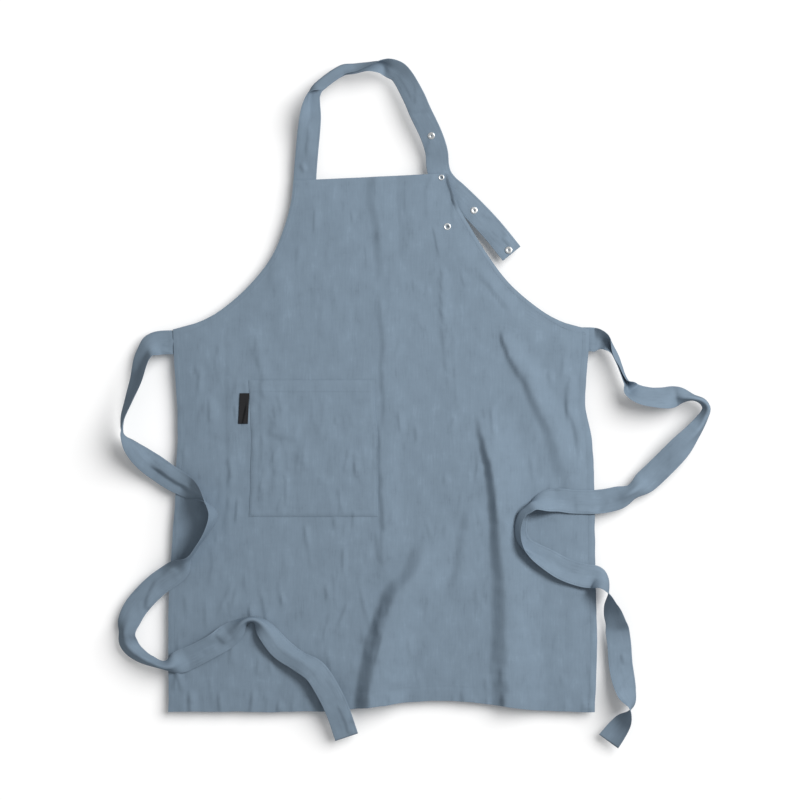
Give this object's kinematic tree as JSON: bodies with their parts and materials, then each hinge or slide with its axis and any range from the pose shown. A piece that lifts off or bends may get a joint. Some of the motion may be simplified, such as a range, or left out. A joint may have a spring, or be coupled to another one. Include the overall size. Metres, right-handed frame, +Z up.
{
  "type": "linen bib apron",
  "caption": "Bib apron of washed linen laid flat, with a patch pocket, long waist ties and a neck strap that closes on ring snaps.",
  "frame": {"origin": "bottom centre of the laid apron's box, on the surface it lies on", "axes": "+X to the right of the laid apron seen from above, +Y from the hem towards the neck strap, +Z up from the surface"},
  "size_m": [0.9884, 1.1509, 0.0433],
  "materials": {
    "linen": "blue-grey washed linen, plain weave with slubs, matte",
    "woven_label": "black woven tape, bare",
    "snap_metal": "bright nickel-plated steel"
  },
  "bodies": {
    "root": {"body_panel": "linen", "pocket": "linen", "pocket_label": "woven_label", "neck_strap": "linen", "tie_left": "linen", "tie_right": "linen", "snap_fastened": "snap_metal", "snap_bib_spare": "snap_metal", "snap_strap_upper": "snap_metal", "snap_strap_middle": "snap_metal", "snap_strap_end": "snap_metal"}
  },
  "joints": []
}
